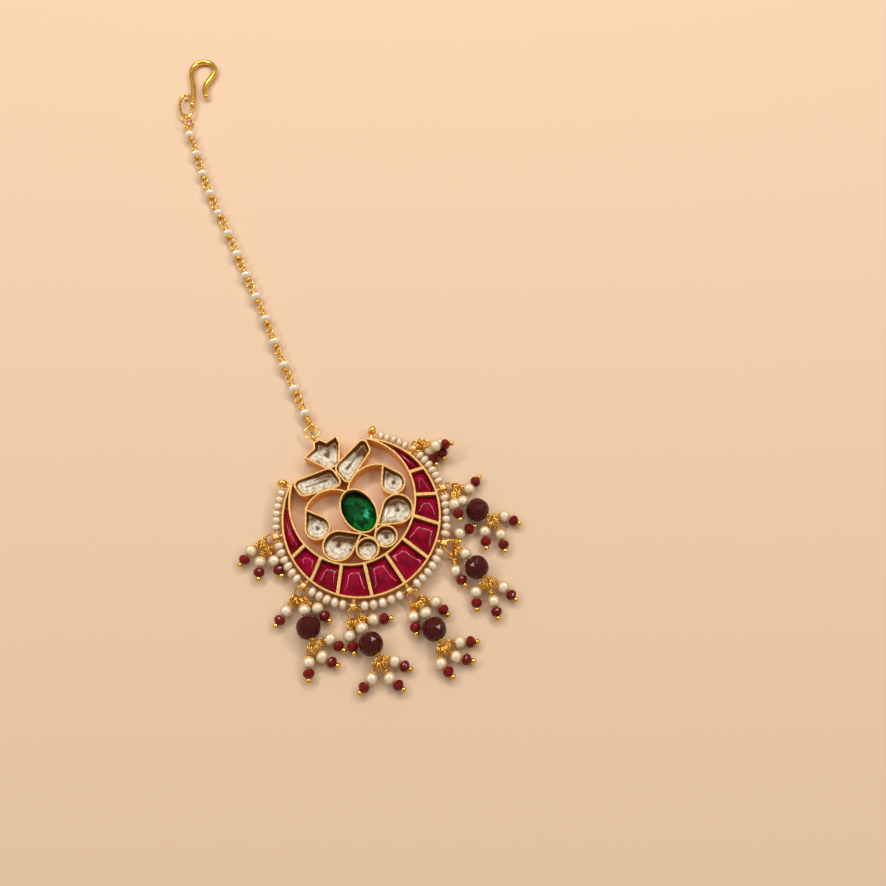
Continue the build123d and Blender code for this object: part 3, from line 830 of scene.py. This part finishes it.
# ---- Drops -------------------------------------------------------------------------------------------
RING_RADIUS = 1.45
RING_WIRE = 0.22
RING_PLAY = 0.12
RING_LOW = 1.0              # height of a jump ring's far side
RING_CUT = 0.13
RING_CUT_TURN = 75          # degrees from the far side to the cut
PIN_WIRE = 0.14
PIN_LOOP = 1.08
PIN_SLOPE = 2               # degrees down from pearl to ball
PIN_SPREAD = 34             # degrees each way along a jump ring
PIN_SPIN = 35               # degrees, at most, of a loop about its stem
# A pin's loop is wound several times round, and its turns lean and shrink away from the middle one
LOOP_SIDES = (-2, -1, 0, 1, 2)
LOOP_FAN = 30
LOOP_JITTER = 8             # degrees, at most, off each turn's own lean
LOOP_SHRINK = 0.08
FLOOR_GAP = 0.02            # least height of a loop's wire above the floor
COIL_RADIUS = 0.72
COIL_PITCH = 0.44
COIL_MOST = 2.0             # longest coil round a stem
COIL_LEAST = 1.2            # turns
COIL_WIRE = 0.9             # wire of a coil, over the wire that it winds round
PEARL_RADIUS = 1.4
PEARL_HALF = 1.3
RUBY_RADIUS = 1.25
RUBY_HALF = 0.95
RUBY_SIDES = 9
RUBY_LEAN = 0.1             # sideways over lengthwise, at most
PEARL_TO_RUBY = 2.35        # middle to middle, along a pin
PEARL_TO_BALL = 3.8
BALL_RADIUS = 0.65
BALL_ROWS = 12
BEAD_RADIUS = 2.65
BEAD_HALF = 2.5
BEAD_SIDES = 14
BEAD_HEIGHT = 2.7
BEAD_PEARL_HEIGHT = 2.3
BEAD_PEARL_GAP = 0.05       # from the large bead to the pearl above it
BEAD_LOOP_SPIN = 20
HUB_RADIUS = 0.7            # of the eye below the large bead
HUB_WIRE = 0.2
HUB_HEIGHT = 2.1
HUB_GAP = 0.3               # from the large bead to the eye
HUB_SPREAD = 60             # degrees each way along the eye
HUB_COIL_PITCH = 0.3
HUB_COIL_TURNS = 1.6
HUB_COIL_SUNK = 0.05        # start of the coil inside the bead's hole
# Rows of a bead's facets: share of its half length, share of its radius
RUBY_LEVELS = (
    (-1.0, 0.30), (-0.90, 0.62), (-0.42, 0.96), (0.0, 1.0), (0.42, 0.96), (0.90, 0.62), (1.0, 0.30),
)
BEAD_LEVELS = (
    (-1.0, 0.16), (-0.97, 0.36), (-0.86, 0.59), (-0.66, 0.80), (-0.36, 0.95), (0.0, 1.0),
    (0.36, 0.95), (0.66, 0.80), (0.86, 0.59), (0.97, 0.36), (1.0, 0.16),
)

# Each drop: its loop, the heading of its jump ring, and its pins as x, y and z of the pearl and the
# heading from pearl to ball. A long drop adds its large bead's x, y and heading, and the pins below it.
DROPS = (
    {"loop": 1, "heading": 176,
     "pins": ((-24.9, 4.8, 1.4, -154), (-24.3, 1.5, 1.4, -122), (-21.5, 0.1, 1.4, -92))},
    {"loop": 2, "heading": 216,
     "pins": ((-24.3, -11.1, 1.4, -154), (-18.25, -14.1, 1.4, -76)),
     "bead": (-21.8, -17.0, -104),
     "lower": ((-19.0, -21.3, 1.4, -70), (-22.2, -23.7, 1.4, -60), (-25.2, -23.2, 1.4, -118))},
    {"loop": 3, "heading": 250,
     "pins": ((-15.2, -22.9, 1.4, -103), (-9.1, -22.5, 1.4, -26)),
     "bead": (-12.1, -26.9, -90),
     "lower": ((-9.5, -32.4, 1.4, -58), (-15.5, -33.0, 1.4, -162), (-12.2, -34.9, 1.4, -69))},
    {"loop": 4, "heading": -80,
     "pins": ((4.5, -26.2, 1.4, -78), (-1.4, -26.4, 1.4, -109)),
     "bead": (1.0, -31.2, -94),
     "lower": ((4.4, -36.2, 1.4, -30), (2.1, -38.4, 1.4, -45), (-1.4, -37.9, 1.4, -78))},
    {"loop": 5, "heading": -52,
     "pins": ((17.1, -15.7, 1.4, -5), (11.8, -22.6, 1.4, -88)),
     "bead": (16.0, -24.5, -84),
     "lower": ((18.9, -31.1, 1.4, -77), (13.1, -28.9, 1.4, -118), (15.4, -32.6, 1.4, -108))},
    {"loop": 6, "heading": -26,
     "pins": ((24.5, -7.9, 1.4, 20), (19.15, -9.9, 4.0, -100)),
     "bead": (23.2, -13.4, -64),
     "lower": ((27.9, -17.5, 1.4, -58), (22.2, -18.3, 1.4, -118), (24.9, -20.8, 1.4, -108))},
    {"loop": 7, "heading": 14,
     "pins": ((22.8, 4.4, 3.9, -20), (24.5, 5.2, 1.4, -105), (21.7, 4.9, 1.4, -98))},
)


class Ring:
    """A ring that other wires hang on: its middle, axis and radius, and the way to its far side."""

    def __init__(self, centre, axis, radius, towards):
        self.centre = Vector(centre)
        self.axis = Vector(axis).normalized()
        self.radius = radius
        self.towards = Vector(towards).normalized()

    def place(self, turn):
        """Middle of the wire at a turn in degrees from the ring's far side, and the wire's run there."""
        out = Quaternion(self.axis, radians(turn)) @ self.towards
        return self.centre + out * self.radius, self.axis.cross(out)


def hung_ring(near, angle, far_height, radius, roll=0):
    """Ring from a near point at a heading to a height at its far side, rolled about that line."""
    slope = (far_height - near.z) / (2 * radius)
    level = sqrt(1 - slope ** 2)
    along = Vector((level * cos(radians(angle)), level * sin(radians(angle)), slope))
    axis = along.cross(Vector((-sin(radians(angle)), cos(radians(angle)), 0)))
    axis = Quaternion(along, radians(roll)) @ axis
    return Ring(near + along * radius, axis, radius, along)


def ring_piece(name, ring, material, node):
    """Jump ring of round wire with its cut ends pressed together."""
    shape = Shape()
    start = Quaternion(ring.axis, radians(RING_CUT_TURN)) @ ring.towards
    sweep = 2 * pi - RING_CUT / ring.radius
    shape.tube(ring_route(ring.centre, ring.axis, start, ring.radius, 56, sweep), RING_WIRE, sides=14)
    shape.piece(name, material, "gold", node)


def wrapped_loop(wires, held, run, target, held_wire, spin):
    """Loop round a wire that is held at a place and runs some way, wound back round its own stem
    towards a target pearl. Gives the stem's start."""
    stem = target - held
    length = stem.length
    stem.normalize()
    centre = held + stem * (PIN_LOOP - held_wire - PIN_WIRE - LOOP_PLAY)
    axis = run - stem * run.dot(stem)
    if axis.length < 0.3:       # the held wire runs nearly along the stem
        axis = UP - stem * UP.dot(stem)
    axis = Quaternion(stem, radians(spin)) @ axis.normalized()
    neck = centre + stem * PIN_LOOP
    low = min(centre.z - PIN_LOOP * abs(axis.cross(stem).z), neck.z) - PIN_WIRE
    lift = Vector((0, 0, max(0, FLOOR_GAP - low)))
    for side in LOOP_SIDES:
        lean = Quaternion(stem, radians(LOOP_FAN * side + jitter(LOOP_JITTER))) @ axis
        radius = PIN_LOOP * (1 - LOOP_SHRINK * abs(side))
        wires.tube(ring_route(centre + lift, lean, stem, radius, 26), PIN_WIRE, closed=True)
    room = min(COIL_MOST, length - PEARL_RADIUS - (neck - held).length)
    turns = max(COIL_LEAST, room / COIL_PITCH)
    wires.tube([neck + lift, neck + stem * 0.25, neck + stem * 0.5], PIN_WIRE)
    wires.coil(neck, stem, COIL_RADIUS, COIL_PITCH, turns, COIL_WIRE * PIN_WIRE, any_phase())
    return neck


def head_pin(shapes, held, run, held_wire, pin, spin):
    """A pearl, a faceted ruby bead and a gold ball on a wire that ends in a wrapped loop."""
    middle = Vector(pin[:3])
    along = heading(pin[3], PIN_SLOPE)
    ruby = middle + along * PEARL_TO_RUBY
    tip = middle + along * PEARL_TO_BALL
    wires = shapes["wires"]
    neck = wrapped_loop(wires, held, run, middle, held_wire, spin)
    wires.tube(smooth_route([neck, neck.lerp(middle, 0.5), middle, ruby, tip], 5), PIN_WIRE)
    drop_pearl(shapes["pearls"], middle, along)
    ruby_axis = along + heading(pin[3] + 90) * jitter(RUBY_LEAN)
    faceted(shapes["rubies"], ruby, ruby_axis, RUBY_RADIUS, RUBY_HALF, RUBY_SIDES, RUBY_LEVELS)
    turns = [pi * k / BALL_ROWS for k in range(1, BALL_ROWS)]
    wires.turned(tip, along, [(-BALL_RADIUS * cos(t), BALL_RADIUS * sin(t)) for t in turns], sides=20)


def cluster(shapes, ring, held_wire, pins, spread):
    """The pins that hang from one ring, side by side along its wire."""
    across = ring.axis.cross(ring.towards)
    order = sorted(pins, key=lambda pin: across.dot(Vector(pin[:3]) - ring.centre))
    last = len(order) - 1
    for k, pin in enumerate(order):
        held, run = ring.place(spread * (k - last / 2) / last * 2)
        head_pin(shapes, held, run, held_wire, pin, jitter(PIN_SPIN))


def drop_shapes():
    return {"pearls": Shape(), "rubies": Shape(), "wires": Shape()}


def finish_shapes(shapes, prefix, materials, node):
    shapes["pearls"].piece(f"{prefix}_pearls", materials["pearl"], "pearl", node)
    shapes["rubies"].piece(f"{prefix}_rubies", materials["ruby_bead"], "ruby", node)
    shapes["wires"].piece(f"{prefix}_wires", materials["wire"], "gold", node)


def long_drop(shapes, ring, drop, name, materials):
    """Wire from the jump ring through a pearl and the large bead to a flat eye, with its own cluster."""
    x, y, angle = drop["bead"]
    along = heading(angle)
    middle = Vector((x, y, BEAD_HEIGHT))
    above = Vector((x, y, BEAD_PEARL_HEIGHT)) - along * (BEAD_HALF + BEAD_PEARL_GAP + PEARL_RADIUS)
    held, run = ring.place(0)
    wires = shapes["wires"]
    neck = wrapped_loop(wires, held, run, above, RING_WIRE, BEAD_LOOP_SPIN)
    hub = Vector((x, y, HUB_HEIGHT)) + along * (BEAD_HALF + HUB_GAP + HUB_RADIUS)
    end = middle + along * BEAD_HALF
    route = [neck, above, middle - along * BEAD_HALF, end, hub - along * HUB_RADIUS]
    wires.tube(smooth_route(route, 4), PIN_WIRE)
    drop_pearl(shapes["pearls"], above, along)
    wires.tube(ring_route(hub, UP, -along, HUB_RADIUS, 30), HUB_WIRE, closed=True, sides=10)
    start = end - along * HUB_COIL_SUNK
    wires.coil(start, along, COIL_RADIUS, HUB_COIL_PITCH, HUB_COIL_TURNS, COIL_WIRE * PIN_WIRE)
    bead = Shape()
    faceted(bead, middle, along, BEAD_RADIUS, BEAD_HALF, BEAD_SIDES, BEAD_LEVELS)
    bead.piece(f"{name}_bead", materials["dark_bead"], "dark_bead", f"{name}_large_bead")
    lower = drop_shapes()
    cluster(lower, Ring(hub, UP, HUB_RADIUS, along), HUB_WIRE, drop["lower"], HUB_SPREAD)
    finish_shapes(lower, f"{name}_lower", materials, f"{name}_lower_cluster")


def drops(materials):
    for number, drop in enumerate(DROPS, start=1):
        name = f"drop_{number}"
        angle, out = LOOPS[drop["loop"]]
        near = rim_point(angle, out) + heading(drop["heading"]) * RING_PLAY
        ring = hung_ring(near, drop["heading"], RING_LOW, RING_RADIUS)
        ring_piece(f"{name}_ring", ring, materials["wire"], f"{name}_jump_ring")
        shapes = drop_shapes()
        cluster(shapes, ring, RING_WIRE, drop["pins"], PIN_SPREAD)
        if "bead" in drop:
            long_drop(shapes, ring, drop, name, materials)
        finish_shapes(shapes, f"{name}_upper", materials, f"{name}_cluster")


# ---- Chain -------------------------------------------------------------------------------------------
BAIL = (-0.4, 21.2)         # x and y of the eye on the crown
BAIL_RING_RADIUS = 1.75
BAIL_RING_HEADING = 74
CHAIN_PITCH = 7.0           # from pearl to pearl
CHAIN_PEARLS = 14
CHAIN_FIRST_PEARL = 3.0
CHAIN_PEARL_RADIUS = 1.45
CHAIN_PEARL_HALF = 0.9
CHAIN_PEARL_HOLE = 0.22
CHAIN_LOOP = 0.98
CHAIN_LOOP_ROLL = 45        # degrees between a loop and the floor
CHAIN_LOOP_JITTER = 14      # degrees off it, at most
CHAIN_WIRE = 0.24
CHAIN_COIL = 0.55
CHAIN_COIL_PITCH = 0.42
CHAIN_COIL_GAP = 0.02       # from a pearl to the coil
CHAIN_COIL_LEAST = 1.5      # turns
CHAIN_END = 0.88            # from the route's end to the middle of the loop there
CHAIN_ROUTE = (
    (0.64, 25.3, 1.45), (2.4, 42.0, 1.45), (4.9, 58.0, 1.45), (6.3, 72.5, 1.45), (8.0, 86.5, 1.45),
    (9.3, 100.5, 1.45), (12.2, 114.0, 1.45), (13.52, 121.26, 1.5),
)
HOOK_RING_RADIUS = 1.8
HOOK_RING_ROLL = 45
HOOK_RING_REACH = 0.88      # from the ring's middle to the wire of the hook's eye
HOOK_EYE_HEIGHT = 1.5
HOOK_ORIGIN = (14.83, 124.57)   # x and y of the near end of its eye
HOOK_HEADING = 68.5


def chain_points():
    """Points close together along the chain."""
    curve = bpy.data.curves.new("chain_route", "CURVE")
    curve.dimensions = "3D"
    spline = curve.splines.new("NURBS")
    spline.points.add(len(CHAIN_ROUTE) - 1)
    for point, place in zip(spline.points, CHAIN_ROUTE):
        point.co = (*place, 1)
    spline.order_u = 3
    spline.use_endpoint_u = True
    spline.resolution_u = 40
    holder = bpy.data.objects.new("chain_route", curve)
    mesh = bpy.data.meshes.new_from_object(holder)
    points = [v.co.copy() for v in mesh.vertices]
    bpy.data.objects.remove(holder)
    bpy.data.curves.remove(curve)
    bpy.data.meshes.remove(mesh)
    return points


def at_length(points, length):
    """Place and direction at a length along a route; past its ends it runs straight on."""
    if length <= 0:
        along = (points[1] - points[0]).normalized()
        return points[0] + along * length, along
    for a, b in zip(points, points[1:]):
        run = (b - a).length
        if length <= run:
            return a.lerp(b, length / run), (b - a) / run
        length -= run
    along = (points[-1] - points[-2]).normalized()
    return points[-1] + along * length, along


def pearl_chain(materials):
    """Pearls on wires whose wrapped loops link each to the next."""
    points = chain_points()
    length = sum((b - a).length for a, b in zip(points, points[1:]))
    beads, wires = Shape(), Shape()
    taut = CHAIN_LOOP - CHAIN_WIRE - LOOP_PLAY
    for k in range(CHAIN_PEARLS):
        stop = CHAIN_FIRST_PEARL + CHAIN_PITCH * k
        before = -CHAIN_END if k == 0 else stop - CHAIN_PITCH / 2 + taut
        after = length + CHAIN_END if k == CHAIN_PEARLS - 1 else stop + CHAIN_PITCH / 2 - taut
        middle, along = at_length(points, stop)
        pearl(beads, middle, along, CHAIN_PEARL_RADIUS, CHAIN_PEARL_HALF, CHAIN_PEARL_HOLE, 26, 14)
        for end, roll in ((before, CHAIN_LOOP_ROLL), (after, -CHAIN_LOOP_ROLL)):
            centre, _ = at_length(points, end)
            stem = (centre - middle).normalized()
            axis = Quaternion(stem, radians(roll + jitter(CHAIN_LOOP_JITTER))) @ UP
            axis = (axis - stem * axis.dot(stem)).normalized()
            wires.tube(ring_route(centre, axis, stem, CHAIN_LOOP, 30), CHAIN_WIRE, closed=True)
            neck = centre - stem * CHAIN_LOOP
            wires.tube([middle, middle.lerp(neck, 0.5), neck], CHAIN_WIRE)
            start = middle + stem * (CHAIN_PEARL_HALF + CHAIN_COIL_GAP)
            turns = max(CHAIN_COIL_LEAST, (neck - start).length / CHAIN_COIL_PITCH)
            coil_wire = COIL_WIRE * CHAIN_WIRE
            wires.coil(start, stem, CHAIN_COIL, CHAIN_COIL_PITCH, turns, coil_wire, any_phase())
    beads.piece("chain_pearls", materials["chain_pearl"], "pearl", "pearl_chain")
    wires.piece("chain_links", materials["wire"], "gold", "pearl_chain")


def chain_rings(material):
    near = Vector((*BAIL, LOOP_HEIGHT)) + heading(BAIL_RING_HEADING) * RING_PLAY
    bail = hung_ring(near, BAIL_RING_HEADING, CHAIN_ROUTE[0][2], BAIL_RING_RADIUS)
    ring_piece("bail_jump_ring", bail, material, "bail_ring")
    eye = Vector((*HOOK_ORIGIN, HOOK_EYE_HEIGHT))
    near = eye - heading(HOOK_HEADING) * (HOOK_RING_REACH + HOOK_RING_RADIUS)
    hook = hung_ring(near, HOOK_HEADING, HOOK_EYE_HEIGHT, HOOK_RING_RADIUS, HOOK_RING_ROLL)
    ring_piece("hook_jump_ring", hook, material, "hook_ring")


# ---- The whole jewel ---------------------------------------------------------------------------------
# Width of a stone's curve at its edge, how far it drops there, and the passes that even it out
RUBY_BEVEL = (2.3, 0.85, 60)
CLEAR_BEVEL = (1.4, 0.42, 4)
RUBY_STONES = 10
CLEAR_STONES = (
    "crown_stone", "oblong_stone_left", "oblong_stone_right", "small_drop_stone_left",
    "small_drop_stone_right", "large_drop_stone_left", "large_drop_stone_right", "round_stone_left",
    "round_stone_right",
)


def jewel():
    materials = {
        "gold": polished_gold(), "wire": wire_gold(),
        # The first colour of each pearl finish is its painted reflection of gold and floor at the edges
        "pearl": pearl_lustre("drop_pearl", (0.66, 0.38, 0.10), (0.86, 0.66, 0.42), (0.96, 0.83, 0.61)),
        "seed": pearl_lustre("seed_pearl", (0.62, 0.38, 0.15), (0.87, 0.69, 0.51), (0.98, 0.86, 0.70)),
        "chain_pearl": pearl_lustre("chain_pearl", (0.84, 0.66, 0.42), (0.94, 0.88, 0.77),
                                    (1.0, 0.96, 0.88)),
        "ruby": ruby_inlay(), "emerald": emerald_glass(), "foil": foil_stone(),
        "ruby_bead": red_glass("ruby_bead", (0.12, 0.002, 0.003), (0.28, 0.007, 0.009)),
        "dark_bead": red_glass("dark_bead", (0.03, 0.002, 0.002), (0.10, 0.008, 0.005), 0.4),
    }
    pendant_frame(materials["gold"])
    for number in range(1, RUBY_STONES + 1):
        node = f"ruby_inlay_{number}"
        domed_stone(f"ruby_stone_{number}", node, materials["ruby"], "ruby", *RUBY_BEVEL)
    for node in CLEAR_STONES:
        domed_stone(f"{node}_cut", node, materials["foil"], "clear_stone", *CLEAR_BEVEL)
    emerald_stone(materials["emerald"])
    rim_pearls(materials["seed"], materials["wire"])
    drops(materials)
    pearl_chain(materials)
    chain_rings(materials["wire"])
    hook = frame["nodes"]["hair_hook"]
    hook.data.materials.clear()
    hook.data.materials.append(materials["wire"])


camera()
floor()
world()
studio()
jewel()
bpy.context.scene.view_settings.view_transform = "Standard"
